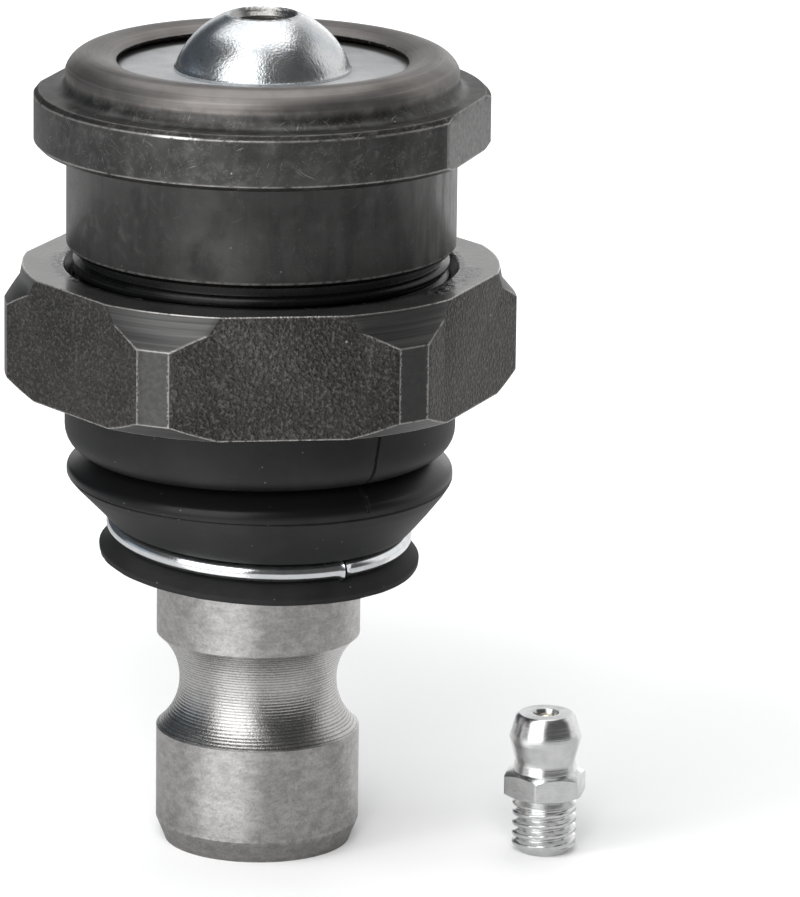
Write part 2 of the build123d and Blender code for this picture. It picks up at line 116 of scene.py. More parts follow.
BELL_R = bell_high.x
BELL_FOOT = bell_low.z + 0.7
WAIST_R = BELL_R - 2.5
WAIST_Z = BELL_FOOT - 0.5
FOLD_R = fold_high.x
SEAM_Z = WAIST_Z - 2.3
BOOT_WALL = 1.7
LIP_BORE_R = STUD_R - 0.1
BOOT_ROLL = 2.5
BOOT_TIP = 3.3
FLASH_BEARING = 37.4

WIRE_R = (ring_high.z - ring_low.z) / 2
WIRE_RING_R = ring_high.x - WIRE_R
WIRE_Z = (ring_high.z + ring_low.z) / 2
WIRE_BEARING = 33.5

FITTING = Vector((26.85, -4.1, 0.0))
FITTING_THREAD_R = 3.0
FITTING_THREAD_HIGH = 4.8

# ---- Fineness --------------------------------------------------------------------------------------
# Degrees for each step of an arc, and the turn in radians below which a corner stays plain.
ARC_STEP = 12.0
STRAIGHT = 0.02
# Steps round the boot, round and along the wire ring, and along one pitch of a thread.
BOOT_SIDES = 160
WIRE_SIDES = 20
WIRE_STEPS = 220
THREAD_ROWS = 12
# The part of a pitch over which a thread runs out at each end.
RUN_OUT = 0.6
# Samples for each rounded edge.
BEVEL_SAMPLES = 6
# The distance in metres within which doubled points are merged.
MERGED_WITHIN = 2e-6


# ---- Node trees ------------------------------------------------------------------------------------
def plug(tree, socket, value):
    """Links a term to a socket, or sets the socket's own value."""
    if isinstance(value, Term):
        tree.links.new(value.socket, socket)
    else:
        socket.default_value = value


def work_out(tree, operation, *values):
    """Adds one Math node."""
    node = tree.nodes.new("ShaderNodeMath")
    node.operation = operation
    for place, value in enumerate(values):
        plug(tree, node.inputs[place], value)
    return Term(tree, node.outputs[0])


def mapped(tree, value, start, end, first=0.0, last=1.0, smooth=True):
    """Runs from first at start to last at end, and is level beyond both."""
    node = tree.nodes.new("ShaderNodeMapRange")
    node.interpolation_type = "SMOOTHSTEP" if smooth else "LINEAR"
    sockets = {"Value": value, "From Min": start, "From Max": end, "To Min": first, "To Max": last}
    for name, setting in sockets.items():
        plug(tree, node.inputs[name], setting)
    return Term(tree, node.outputs[0])


def operator(operation, swapped=False):
    """A method that joins a term to another value by a Math node."""
    def method(self, other):
        pair = (other, self) if swapped else (self, other)
        return work_out(self.tree, operation, *pair)
    return method


class Term:
    """A socket whose arithmetic adds Math nodes."""

    def __init__(self, tree, socket):
        self.tree, self.socket = tree, socket

    __add__ = operator("ADD")
    __radd__ = operator("ADD", swapped=True)
    __sub__ = operator("SUBTRACT")
    __rsub__ = operator("SUBTRACT", swapped=True)
    __mul__ = operator("MULTIPLY")
    __truediv__ = operator("DIVIDE")
    __pow__ = operator("POWER")

    def __abs__(self):
        return work_out(self.tree, "ABSOLUTE", self)

    def rises(self, low, high):
        """0 below low, 1 above high, smooth between; falls where low is the larger."""
        if low > high:
            return mapped(self.tree, self, high, low, 1.0, 0.0)
        return mapped(self.tree, self, low, high)

    def near(self, value, width, soft):
        """1 within width of a value, fading out over soft."""
        return abs(self - value).rises(width + soft, width)


class Graph:
    """A node tree, with a method for each kind of step."""

    def __init__(self, tree):
        self.tree = tree

    def add(self, kind, settings=None, inputs=None, output=0):
        """Adds a node with its settings and inputs, and returns one of its outputs."""
        node = self.tree.nodes.new(kind)
        for name, value in (settings or {}).items():
            setattr(node, name, value)
        for name, value in (inputs or {}).items():
            plug(self.tree, node.inputs[name], value)
        return Term(self.tree, node.outputs[output])

    def split(self, vector):
        """The three parts of a vector."""
        node = self.tree.nodes.new("ShaderNodeSeparateXYZ")
        plug(self.tree, node.inputs[0], vector)
        return [Term(self.tree, output) for output in node.outputs]

    def joined(self, x, y, z):
        """A vector from its three parts."""
        return self.add("ShaderNodeCombineXYZ", inputs={"X": x, "Y": y, "Z": z})

    def bearing(self, x, y):
        """Degrees from -Y towards +X."""
        return work_out(self.tree, "ARCTAN2", x, y * -1.0) * math.degrees(1)

    def mixed(self, share, first, second):
        """A colour between two others."""
        node = self.tree.nodes.new("ShaderNodeMix")
        node.data_type = "RGBA"
        for place, value in ((0, share), (6, first), (7, second)):
            plug(self.tree, node.inputs[place], value if isinstance(value, (Term, float)) else (*value, 1.0))
        return Term(self.tree, node.outputs[2])

    def varied(self, noise, first, second):
        """A colour that runs between two others with a noise."""
        return self.mixed(noise.rises(0.3, 0.7), first, second)

    def layered(self, colour, *layers):
        """A colour with others laid over it in turn, each by its own share."""
        for share, over in layers:
            colour = self.mixed(share, colour, over)
        return colour

    def largest(self, *terms):
        """The largest of several terms."""
        top = terms[0]
        for term in terms[1:]:
            top = work_out(self.tree, "MAXIMUM", top, term)
        return top


class Finish(Graph):
    """A material, with the piece's own coordinates in millimetres."""

    def __init__(self, name, **sockets):
        self.material = bpy.data.materials.new(name)
        self.material.use_nodes = True
        super().__init__(self.material.node_tree)
        self.shader = self.tree.nodes["Principled BSDF"]
        for socket, value in sockets.items():
            self.set(socket.replace("_", " "), value)
        metres = self.add("ShaderNodeTexCoord", output="Object")
        self.place = self.add("ShaderNodeVectorMath", {"operation": "SCALE"}, {0: metres, "Scale": 1 / MM})

    def set(self, socket, value):
        """Plugs a value into the surface shader."""
        plug(self.tree, self.shader.inputs[socket], value)

    def finished(self, colour, roughness, height=None, edge=None):
        """Sets colour, roughness and bump, and returns the material."""
        self.set("Base Color", colour)
        self.set("Roughness", roughness)
        if height is not None:
            self.set("Normal", self.bump(height, edge))
        return self.material

    def cylinder(self, centre=(0.0, 0.0, 0.0)):
        """Radius, bearing in degrees and height, about an upright axis."""
        moved = self.add("ShaderNodeVectorMath", {"operation": "SUBTRACT"}, {0: self.place, 1: tuple(centre)})
        x, y, z = self.split(moved)
        return (x * x + y * y) ** 0.5, self.bearing(x, y), z

    def reach(self, bearing):
        """Distance from the object's upright axis towards a bearing or straight away from it."""
        x, y, _ = self.split(self.place)
        turn = math.radians(bearing)
        return abs(x * math.sin(turn) - y * math.cos(turn))

    def stretched(self, around, up, out=0.0):
        """The place with its scale changed around, up and out from the object's upright axis."""
        x, y, z = self.split(self.place)
        radius = (x * x + y * y) ** 0.5
        return self.joined(x * around + radius * out, y * around, z * up)

    def noise(self, size, detail=3.0, roughness=0.55, where=None, distortion=0.0):
        """Cloudy values from about 0.25 to 0.75, with blobs of a size in millimetres."""
        return self.add("ShaderNodeTexNoise", inputs={
            "Vector": where or self.place, "Scale": 1 / size, "Detail": detail, "Roughness": roughness,
            "Distortion": distortion})

    def turning(self):
        """Fine rings round the object's upright axis, as a lathe tool leaves them."""
        return self.noise(1.0, 3.0, 0.7, self.stretched(0.03, 3.0, 3.0))

    def specks(self, size, share):
        """Round spots: 1 in the middle of a share of the cells of a size in millimetres."""
        cells = {"Vector": self.place, "Scale": 1 / size}
        distance = self.add("ShaderNodeTexVoronoi", inputs=cells)
        pick = self.add("ShaderNodeTexWhiteNoise", inputs={
            "Vector": self.add("ShaderNodeTexVoronoi", inputs=cells, output="Position")})
        return distance.rises(0.30, 0.16) * pick.rises(1 - share, 1 - share + 0.005)

    def scratches(self, length, width, share, lean, seed, around):
        """Fine, slightly curved lines on a surface unrolled from a cylinder."""
        radius, bearing, z = around
        arc = bearing * (math.pi / 180) * 20.0
        turn = math.radians(lean)
        along = arc * math.cos(turn) + z * math.sin(turn) + seed
        across = z * math.cos(turn) - arc * math.sin(turn) + self.noise(4.0, 2.0) * 1.2 + seed
        lines = self.noise(1.0, 1.0, 0.5, self.joined(along / length, across / width, radius * 0.02))
        clusters = self.noise(2.6, 2.0, 0.5, self.joined(arc + seed, z, radius)).rises(0.50, 0.62)
        return lines.rises(0.73 - share, 0.76 - share) * clusters

    def rounded_normal(self, radius):
        """The surface's direction, with edges rounded to a radius in millimetres."""
        return self.add("ShaderNodeBevel", {"samples": BEVEL_SAMPLES}, {"Radius": radius * MM})

    def bump(self, height, edge=None):
        """Raises the surface by a height in hundredths of a millimetre, with edges rounded to a radius."""
        sockets = {"Strength": 1.0, "Distance": 0.01 * MM, "Height": height}
        if edge:
            sockets["Normal"] = self.rounded_normal(edge)
        return self.add("ShaderNodeBump", inputs=sockets)

    def edge_wear_and_highlight(self, radius, blunt=0.998, sharp=0.95):
        """1 on sharp edges within a radius in millimetres, 0 on plain surfaces; used for worn edges with
        painted highlights.
        """
        true = self.add("ShaderNodeNewGeometry", output="Normal")
        level = self.add("ShaderNodeVectorMath", {"operation": "DOT_PRODUCT"},
                         {0: self.rounded_normal(radius), 1: true}, "Value")
        return level.rises(blunt, sharp)


def grey(value):
    """A neutral colour."""
    return (value, value, value)


# ---- Finishes --------------------------------------------------------------------------------------
def housing_steel():
    """Black-oxidised and oiled steel, rubbed brown-grey on the rolled rim and wet-dark on the thread; painted
    highlights on seat and edges, painted shade at the rim's foot.
    """
    steel = Finish("dark_steel", Metallic=0.9)
    radius, bearing, z = around = steel.cylinder()
    clouds = steel.noise(5.0, 5.0, 0.6)
    fine = steel.noise(0.5, 4.0, 0.65)
    turning = steel.turning()
    streaks = steel.noise(1.0, 3.0, 0.6, steel.stretched(0.45, 0.10))

    rim = z.rises(FLANGE_TOP + 0.7, FLANGE_TOP + 1.5)
    below = 1 - rim
    seat = z.rises(FLANGE_FOOT + 0.1, FLANGE_FOOT - 0.1)
    flange = below * (1 - seat)
    thread = z.rises(SEAT_FOOT + 0.05, SEAT_FOOT - 0.12)
    mouth = radius.rises(RIM_MOUTH_R + 0.1, RIM_MOUTH_R - 0.1) * z.rises(RIM_CREST - 0.70, RIM_CREST - 0.82)
    chamfer = z.rises(FLANGE_TOP - 0.43, FLANGE_TOP - 0.38) * radius.rises(FLANGE_R - 0.50, FLANGE_R - 0.42)
    wrench_flat = steel.reach(WRENCH_BEARING).rises(WRENCH_R - 0.05, WRENCH_R - 0.02) * below

    # Painted reflections on the seat: a streaky light band on the right and a light band at the front left,
    # where bright lights would mirror.
    runs = bearing.near(76.0, 12.0, 22.0) * streaks.rises(0.46, 0.62) * 0.5
    painted_highlight_band = bearing.near(-15.0, 4.0, 11.0) * clouds.rises(0.30, 0.55) * 0.45
    dark = steel.layered(
        steel.varied(clouds, (0.060, 0.059, 0.058), (0.108, 0.107, 0.105)),
        (seat * 0.52, (0.25, 0.248, 0.245)),
        (streaks.rises(0.56, 0.34) * 0.26, grey(0.030)),
        (steel.largest(runs, painted_highlight_band) * seat, (0.36, 0.355, 0.35)),
        (chamfer * 0.75, grey(0.020)),
        (wrench_flat * 0.75, steel.varied(fine, (0.17, 0.17, 0.168), (0.34, 0.338, 0.335))))
    rubbed = steel.mixed(clouds.rises(0.25, 0.75), (0.165, 0.154, 0.147), (0.24, 0.226, 0.217))
    rubbed = steel.mixed(turning.rises(0.45, 0.75) * 0.40, rubbed, (0.40, 0.38, 0.365))

    # Painted shade with soot: a dark, patchy band in the cove at the rim's foot.
    cove_shade_and_soot = z.near(FLANGE_TOP + 0.5, 0.3, 1.6) * steel.noise(2.2, 5.0, 0.65).rises(0.36, 0.66)
    smudges = steel.noise(1.2, 5.0, 0.66, distortion=0.3).rises(0.48, 0.76) * below
    lines = steel.largest(
        steel.scratches(2.6, 0.07, 0.02, 24.0, 3.0, around),
        steel.scratches(3.4, 0.07, 0.015, -36.0, 11.0, around),
        steel.scratches(2.0, 0.08, 0.02, 68.0, 29.0, around)) * (flange + seat * 0.5)
    freckles = steel.noise(0.2, 3.0, 0.7).rises(0.56, 0.68) * steel.noise(1.6, 3.0).rises(0.42, 0.62) * below
    foot_wear = z.near(SEAT_FOOT + 0.06, 0.06, 0.10) * steel.noise(0.7, 4.0, 0.7).rises(0.36, 0.54)
    upper_edge = z.rises(FLANGE_TOP - 0.2, FLANGE_TOP - 0.05)
    # Painted highlights with wear: the sharp edges lighter where their rounding would catch light; the seat's
    # foot line is wear.
    edge = steel.edge_wear_and_highlight(0.28) * steel.noise(0.9, 4.0, 0.7).rises(0.30, 0.54) * (1 - upper_edge * 0.6)
    edge = steel.largest(edge * 0.8, foot_wear * 0.6) * (1 - thread)
    bruise = bearing.near(-22.0, 2.0, 7.0) * z.near(FLANGE_TOP - 0.46, 0.05, 0.10) * fine.rises(0.40, 0.50)
    colour = steel.layered(
        steel.mixed(rim, dark, rubbed),
        (cove_shade_and_soot * 0.65, (0.040, 0.036, 0.033)),
        (smudges * 0.45, (0.22, 0.218, 0.214)),
        (lines * 0.75, (0.46, 0.45, 0.44)),
        (freckles * 0.5, (0.30, 0.295, 0.29)),
        (edge, (0.62, 0.60, 0.58)),
        (bruise * 0.9, (0.95, 0.94, 0.92)),
        (thread, grey(0.030)),
        (mouth * fine.rises(0.66, 0.58), (0.020, 0.016, 0.013)),
        (steel.specks(0.45, 0.008) * below * 0.5, (0.75, 0.74, 0.72)))

    roughness = 0.36 + fine * 0.12 + chamfer * 0.15 - thread * 0.14 + smudges * 0.12 + mouth * 0.2
    height = turning * (0.4 + rim * 0.6) + fine * 0.8 + lines * -0.7 + mouth * steel.noise(0.25, 3.0) * 4.0
    return steel.finished(colour, roughness - bruise * 0.1, height, 0.16)


def oil_smears(steel, around):
    """Thick dark thread compound on the nut's washer face, round its bore and in two patches."""
    radius, bearing, z = around
    blotches = steel.noise(1.1, 4.0, 0.65, distortion=1.0)
    right = bearing.near(68.0, 14.0, 8.0) * radius.rises(SEAT_R + 3.2, SEAT_R + 1.0)
    left = bearing.near(-84.0, 12.0, 8.0) * radius.rises(SEAT_R + 1.8, SEAT_R + 0.6)
    patches = steel.largest(right, left) * blotches.rises(0.46, 0.52)
    ring = radius.rises(SEAT_R + 1.2, SEAT_R + 0.5) * blotches.rises(0.34, 0.46)
    return steel.largest(patches, ring) * z.rises(nut_high.z - 0.3, nut_high.z - 0.1)


def nut_steel():
    """Dark forged steel: shot-blasted flats, turned corners, cones and washer face, with painted highlights
    on its edges and painted shade near the bore and on the right strip.
    """
    steel = Finish("nut_steel", Metallic=0.85)
    radius, bearing, z = around = steel.cylinder()
    grain = steel.noise(0.36, 1.0, 0.5)
    pits = steel.noise(0.20, 1.0, 0.6)
    clouds = steel.noise(6.0, 4.0, 0.6)
    fine = steel.noise(0.5, 4.0, 0.65)
    turning = steel.turning()

    reach = steel.largest(*[steel.reach(NUT_BEARING + 60 * turn) for turn in range(3)])
    flat = reach.rises(NUT_FLAT_R - 0.03, NUT_FLAT_R - 0.01)
    turned = 1 - flat
    corner_r = NUT_FLAT_R + NUT_CORNER
    strip = radius.rises(corner_r - 0.05, corner_r + 0.05) * turned
    washer = z.rises(nut_high.z - 0.12, nut_high.z - 0.04)
    bore = radius.rises(NUT_BORE_R + 0.84, NUT_BORE_R + 0.44)

    blasted = steel.layered(
        steel.varied(clouds, (0.050, 0.048, 0.045), (0.074, 0.070, 0.065)),
        (grain.rises(0.50, 0.66) * 0.50, (0.17, 0.166, 0.160)),
        (pits.rises(0.48, 0.34) * 0.6, (0.020, 0.018, 0.016)))
    smooth = steel.layered(
        steel.mixed(turning.rises(0.30, 0.72), grey(0.062), (0.118, 0.117, 0.115)),
        (washer, steel.varied(clouds, (0.13, 0.129, 0.127), (0.18, 0.178, 0.175))))

    # Painted highlights with wear: the edges and the ragged sides of the turned strips lighter where they
    # would catch light.
    ragged = strip * (reach + pits * 0.3).rises(NUT_FLAT_R + 0.02, NUT_FLAT_R + 0.12)
    edge = steel.edge_wear_and_highlight(0.24, 0.999, 0.96) * steel.noise(0.8, 4.0, 0.7).rises(0.30, 0.50)
    oil = oil_smears(steel, around)
    colour = steel.layered(
        steel.mixed(turned, blasted, smooth),
        (strip, steel.varied(fine, (0.084, 0.084, 0.083), (0.122, 0.120, 0.118))),
        # Painted shade: the turned strip on the right made darker.
        (strip * bearing.near(35.0, 12.0, 8.0) * 0.6, grey(0.040)),
        # Painted shade: a dark ring next to the bore, under the housing's seat.
        (bore, grey(0.03)),
        (steel.largest(edge * 0.85, ragged * 0.5), (0.64, 0.625, 0.60)),
        (oil, grey(0.02)),
        (steel.specks(0.45, 0.006) * 0.6, (0.7, 0.69, 0.68)))

    roughness = 0.42 - turned * 0.08 + fine * 0.1 - washer * 0.20 - oil * 0.1
    height = flat * (grain * 17.0 + pits * 7.0) + turned * (turning * 0.8 + fine * 0.5) + oil * clouds * 6.0
    return steel.finished(colour, roughness, height, 0.14)


def plate_zinc():
    """Dull grey zinc plating on pressed sheet, with painted shadow where it meets the rolled rim."""
    zinc = Finish("zinc_plate", Metallic=0.8)
    clouds = zinc.noise(3.0, 4.0, 0.6)
    radius, _, _ = zinc.cylinder()
    colour = zinc.layered(
        zinc.varied(clouds, (0.50, 0.51, 0.52), (0.60, 0.61, 0.62)),
        # Painted shadow: a dark ring where the plate meets the rolled rim.
        (radius.rises(RIM_MOUTH_R - 2.2, RIM_MOUTH_R - 1.3) * 0.8, (0.10, 0.09, 0.08)),
        (zinc.specks(0.5, 0.03) * 0.5, grey(0.16)))
    return zinc.finished(colour, 0.52 + clouds * 0.12, zinc.noise(0.3, 3.0, 0.6), 0.1)


def boss_zinc():
    """Bright zinc plating over a pressed dome, with a fine orange-peel mottle and a painted blue reflection
    on its left.
    """
    zinc = Finish("zinc_bright", Metallic=1.0)
    radius, bearing, z = zinc.cylinder()
    mottle = zinc.noise(0.24, 1.0, 0.6)
    broad = zinc.noise(2.4, 3.0, 0.6)
    left = bearing.near(-105.0, 35.0, 40.0)
    low = z.rises(boss_low.z + 3.4, boss_low.z + 1.2)
    mouth_r = PORT_R + 0.75
    torn_mouth = radius.near(mouth_r, 0.25, 0.2) * z.rises(boss_high.z - 1.2, boss_high.z - 0.4)
    colour = zinc.layered(
        zinc.varied(broad, (0.64, 0.67, 0.70), (0.80, 0.81, 0.81)),
        # Painted reflection: the dome's left side tinted blue, as if mirroring the cool left.
        (left * 0.35, (0.58, 0.66, 0.74)),
        (zinc.specks(0.5, 0.03) * 0.45, grey(0.25)),
        ((low * 0.30 + 0.1) * mottle.rises(0.46, 0.62), (0.34, 0.36, 0.38)),
        (radius.rises(mouth_r, mouth_r - 0.25) * 0.7, (0.34, 0.32, 0.28)))
    height = mottle * (2.6 - left * 1.2 + low * 1.8) + torn_mouth * zinc.noise(0.5, 3.0) * 6.0
    return zinc.finished(colour, 0.21 + broad * 0.10 + low * 0.05, height)


def wire_zinc():
    """Bright drawn wire."""
    zinc = Finish("ring_zinc", Metallic=1.0)
    drawn = zinc.noise(0.8, 3.0, 0.6)
    colour = zinc.varied(drawn, (0.84, 0.87, 0.90), (0.94, 0.95, 0.96))
    return zinc.finished(colour, 0.12 + drawn * 0.08, zinc.noise(0.35, 2.0) * 0.6)


def stud_steel():
    """Ground shank, with turning lines in the pinch groove."""
    steel = Finish("stud_steel", Metallic=1.0)
    radius, _, z = steel.cylinder()
    patches = steel.noise(1.0, 6.0, 0.78, steel.stretched(0.7, 1.2))
    grain = steel.noise(0.22, 3.0, 0.7)
    ground = steel.noise(1.0, 3.0, 0.7, steel.stretched(0.25, 3.0))
    wander = steel.noise(1.0, 2.0, 0.6, steel.stretched(0.05, 1.5))
    cut = work_out(steel.tree, "SINE", (z + wander * 0.25) * (math.tau / TURNING_PITCH)) * 0.5 + 0.5
    groove = radius.rises(STUD_R - 0.03, STUD_R - 0.20) * z.near(GROOVE_Z, GROOVE_HALF, 0.3)
    edge = z.near(stud_low.z + STUD_CHAMFER, 0.18, 0.2) * steel.noise(0.7, 4.0).rises(0.45, 0.6)
    colour = steel.layered(
        steel.mixed(patches.rises(0.28, 0.72), (0.38, 0.365, 0.355), (0.64, 0.63, 0.625)),
        (groove * 0.6, (0.74, 0.735, 0.73)),
        (grain.rises(0.52, 0.32) * 0.4, (0.24, 0.22, 0.21)),
        (groove * cut.rises(0.40, 0.08) * 0.6, (0.16, 0.15, 0.14)),
        (edge * 0.5, (0.74, 0.73, 0.71)))
    height = patches * 2.0 + grain * 2.4 + ground * 1.0 + groove * cut * 1.5
    return steel.finished(colour, 0.30 + patches * 0.14 - groove * 0.10, height)


def boot_rubber():
    """Moulded black rubber: satin outside, glossier on the fold, with the mould's flash line."""
    rubber = Finish("boot_rubber", Metallic=0.0, Specular_IOR_Level=0.35)
    _, bearing, z = rubber.cylinder()
    bloom = rubber.noise(4.0, 5.0, 0.6)
    grain = rubber.noise(0.18, 3.0, 0.65)
    fold = z.near((WAIST_Z + SEAM_Z) / 2, 0.9, 0.25)
    lip = z.rises(ring_low.z + 0.2, ring_low.z - 0.6)
    wobble = rubber.noise(1.4, 3.0) * 1.6 - 0.8
    flash = (bearing + (bell_high.z - z) * 0.45 + wobble).near(FLASH_BEARING, 0.42, 0.25)
    flash = flash * z.rises(SEAM_Z, SEAM_Z + 0.2)
    colour = rubber.layered(
        rubber.varied(bloom, grey(0.008), grey(0.014)),
        (fold, grey(0.004)),
        (flash, grey(0.002)),
        (rubber.specks(0.34, 0.016) * 0.5, grey(0.20)))
    roughness = 0.46 + bloom * 0.10 - fold * 0.18 + lip * 0.12 + flash * 0.4
    height = grain * (0.7 + lip * 2.0) + bloom * 1.0 + flash * 16.0
    return rubber.finished(colour, roughness, height)


def fitting_zinc():
    """Bright zinc plating on small turned work, dark inside its bore."""
    zinc = Finish("fitting_zinc", Metallic=1.0)
    radius, _, z = zinc.cylinder(FITTING)
    mottle = zinc.noise(0.25, 3.0, 0.6)
    turning = zinc.noise(1.0, 3.0, 0.7, zinc.joined(0.0, radius * 6.0, z * 6.0))
    colour = zinc.layered(
        zinc.varied(zinc.noise(1.2, 4.0), (0.82, 0.83, 0.83), (0.95, 0.95, 0.945)),
        (radius.rises(1.3, 1.0) * 0.6, (0.20, 0.17, 0.13)))
    return zinc.finished(colour, 0.17 + mottle * 0.08, mottle * 0.8 + turning * 2.2, 0.08)


def ball_brass():
    """The check ball's warm, bright surface."""
    brass = Finish("ball_brass", Metallic=1.0)
    film = brass.noise(0.5, 3.0)
    return brass.finished(brass.varied(film, (0.80, 0.70, 0.56), (0.92, 0.86, 0.76)), 0.16 + film * 0.1)


def race_polymer():
    """Cream moulded polymer of the races."""
    polymer = Finish("race_polymer", Metallic=0.0)
    flow = polymer.noise(4.0, 3.0)
    return polymer.finished(polymer.varied(flow, (0.74, 0.72, 0.66), (0.82, 0.80, 0.74)), 0.42 + flow * 0.1)


def spring_steel():
    """Blued spring steel."""
    steel = Finish("spring_steel", Metallic=1.0)
    temper = steel.noise(2.0, 4.0)
    return steel.finished(steel.varied(temper, (0.20, 0.20, 0.22), (0.34, 0.33, 0.33)), 0.30 + temper * 0.12)


FINISHES = {make.__name__: make() for make in (
    housing_steel, nut_steel, plate_zinc, boss_zinc, wire_zinc, stud_steel, boot_rubber, fitting_zinc,
    ball_brass, race_polymer, spring_steel)}

NODE_FINISHES = {
    "ball_stud": "stud_steel", "housing": "housing_steel", "retaining_nut": "nut_steel",
    "cover_plate": "plate_zinc", "grease_boss": "boss_zinc", "lower_bearing": "race_polymer",
    "upper_bearing": "race_polymer", "preload_spring": "spring_steel", "boot_collar_ring": "spring_steel",
    "boot_wire_ring": "wire_zinc", "boot_bell": "boot_rubber", "boot_fold": "boot_rubber",
    "boot_cone": "boot_rubber", "fitting_body": "fitting_zinc", "fitting_spring_seat": "fitting_zinc",
    "fitting_spring": "spring_steel", "fitting_check_ball": "ball_brass"}


def paint(piece, finish):
    """Gives a piece one finish all over."""
    piece.data.materials.clear()
    piece.data.materials.append(FINISHES[finish])


for name, finish in NODE_FINISHES.items():
    paint(nodes[name], finish)


def placed(name, data):
    """A new object in the scene, at the origin."""
    thing = bpy.data.objects.new(name, data)
    bpy.context.scene.collection.objects.link(thing)
    return thing


# ---- Pieces made from their outline ----------------------------------------------------------------
def rounded(corners):
    """An outline's points from corners of (radius, height, rounding), with arcs at the rounded ones."""
    points = []
    for number, (r, z, rounding) in enumerate(corners):
        here = Vector((r, z))
        before = Vector(corners[number - 1][:2]) - here
        after = Vector(corners[(number + 1) % len(corners)][:2]) - here
        turn = math.pi - before.angle(after)
        if not rounding or turn < STRAIGHT:
            points.append(here)
            continue
        reach = rounding * math.tan(turn / 2)
        back, on = before.normalized(), after.normalized()
        start, end = here + back * reach, here + on * reach
        centre = here + (back + on).normalized() * (rounding / math.cos(turn / 2))
        first, last = start - centre, end - centre
        swing = first.angle_signed(last)
        count = max(2, round(math.degrees(turn) / ARC_STEP))
        for index in range(count + 1):
            points.append(centre + Matrix.Rotation(-swing * index / count, 2) @ first)
    return points


def densified(points, longest):
    """The same outline, with no run longer than a length."""
    filled = []
    for number, point in enumerate(points):
        after = points[(number + 1) % len(points)]
        pieces = max(1, math.ceil((after - point).length / longest))
        filled += [point.lerp(after, index / pieces) for index in range(pieces)]
    return filled


def group_inputs(tree, sizes):
    """Declares a geometry tree's geometry and size inputs, and returns their identifiers and values."""
    for direction in ("INPUT", "OUTPUT"):
        tree.interface.new_socket("Geometry", in_out=direction, socket_type="NodeSocketGeometry")
    found = {}
    for name, value in sizes.items():
        kind = {int: "NodeSocketInt", float: "NodeSocketFloat"}.get(type(value), "NodeSocketMaterial")
        socket = tree.interface.new_socket(name, in_out="INPUT", socket_type=kind)
        found[socket.identifier] = value
    return found


def made_by(tree_maker, name, base, sizes):
    """Runs a geometry tree on a base mesh and returns the result as a plain mesh object."""
    carrier = placed(name, base)
    tree = bpy.data.node_groups.new(name, "GeometryNodeTree")
    values = group_inputs(tree, sizes)
    tree_maker(Graph(tree))
    modifier = carrier.modifiers.new(name, "NODES")
    modifier.node_group = tree
    for identifier, value in values.items():
        modifier[identifier] = value
    result = bpy.data.meshes.new_from_object(carrier.evaluated_get(bpy.context.evaluated_depsgraph_get()))
    carrier.modifiers.clear()
    carrier.data = result
    bpy.data.node_groups.remove(tree)
    return carrier


def inputs_of(graph):
    """A geometry tree's own inputs, by name."""
    node = graph.tree.nodes.new("NodeGroupInput")
    return {output.name: Term(graph.tree, output) for output in node.outputs if output.name}


def finish_tree(graph, geometry, material):
    """Ends a tree: realised, smooth, with its material."""
    whole = graph.add("GeometryNodeRealizeInstances", inputs={0: geometry})
    smooth = graph.add("GeometryNodeSetShadeSmooth", inputs={0: whole, "Shade Smooth": True})
    painted = graph.add("GeometryNodeSetMaterial", inputs={"Geometry": smooth, "Material": material})
    end = graph.tree.nodes.new("NodeGroupOutput")
    plug(graph.tree, end.inputs[0], painted)


# The boot's lean at its wire ring, and the heights between which it sets in.
LEAN = {
    "Roll": math.radians(BOOT_ROLL), "Tip": math.radians(BOOT_TIP),
    "Lean high": WAIST_Z * MM, "Lean low": ring_high.z * MM}


def leaning(graph, source, position):
    """A position leant with the boot: rolled and tipped about the axis, more the lower it is."""
    x, y, z = graph.split(position)
    share = mapped(graph.tree, z, source["Lean high"], source["Lean low"])
    roll, tip = share * source["Roll"], share * source["Tip"]
    lowered = z - x * work_out(graph.tree, "SINE", roll) + y * work_out(graph.tree, "SINE", tip)
    return graph.joined(x, y, lowered)


def turned_shell(graph):
    """A closed outline, given as the base mesh's points in the XZ plane, turned about Z and leant."""
    source = inputs_of(graph)
    tree = graph.tree
    row_length = source["Sides"] + 1
    grid = graph.add("GeometryNodeMeshGrid", inputs={
        "Size X": 1.0, "Size Y": 1.0, "Vertices X": source["Points"] + 1, "Vertices Y": row_length})
    index = graph.add("GeometryNodeInputIndex")
    row = work_out(tree, "FLOOR", index / row_length + 1e-4)
    turn = (index - row * row_length) / source["Sides"] * math.tau
    point = graph.add("GeometryNodeSampleIndex", {"data_type": "FLOAT_VECTOR"}, {
        "Geometry": source["Geometry"], "Value": graph.add("GeometryNodeInputPosition"),
        "Index": work_out(tree, "MODULO", row, source["Points"])})
    radius, _, height = graph.split(point)
    sine, cosine = work_out(tree, "SINE", turn), work_out(tree, "COSINE", turn)
    ripple = graph.add("ShaderNodeTexNoise", inputs={
        "Vector": graph.joined(sine * 6.0, cosine * 6.0, height * 300.0), "Scale": 1.0, "Detail": 3.0})
    edge = mapped(tree, height, source["Rough edge high"], source["Rough edge low"])
    outside = mapped(tree, radius, source["Rough edge in"], source["Rough edge out"], smooth=False)
    rough = radius + (ripple - 0.5) * source["Roughness"] * edge * outside
    turned = graph.joined(rough * sine, rough * cosine * -1.0, height)
    shaped = graph.add("GeometryNodeSetPosition", inputs={
        "Geometry": grid, "Position": leaning(graph, source, turned)})
    merged = graph.add("GeometryNodeMergeByDistance", inputs={"Geometry": shaped, "Distance": 1e-6})
    finish_tree(graph, merged, source["Material"])


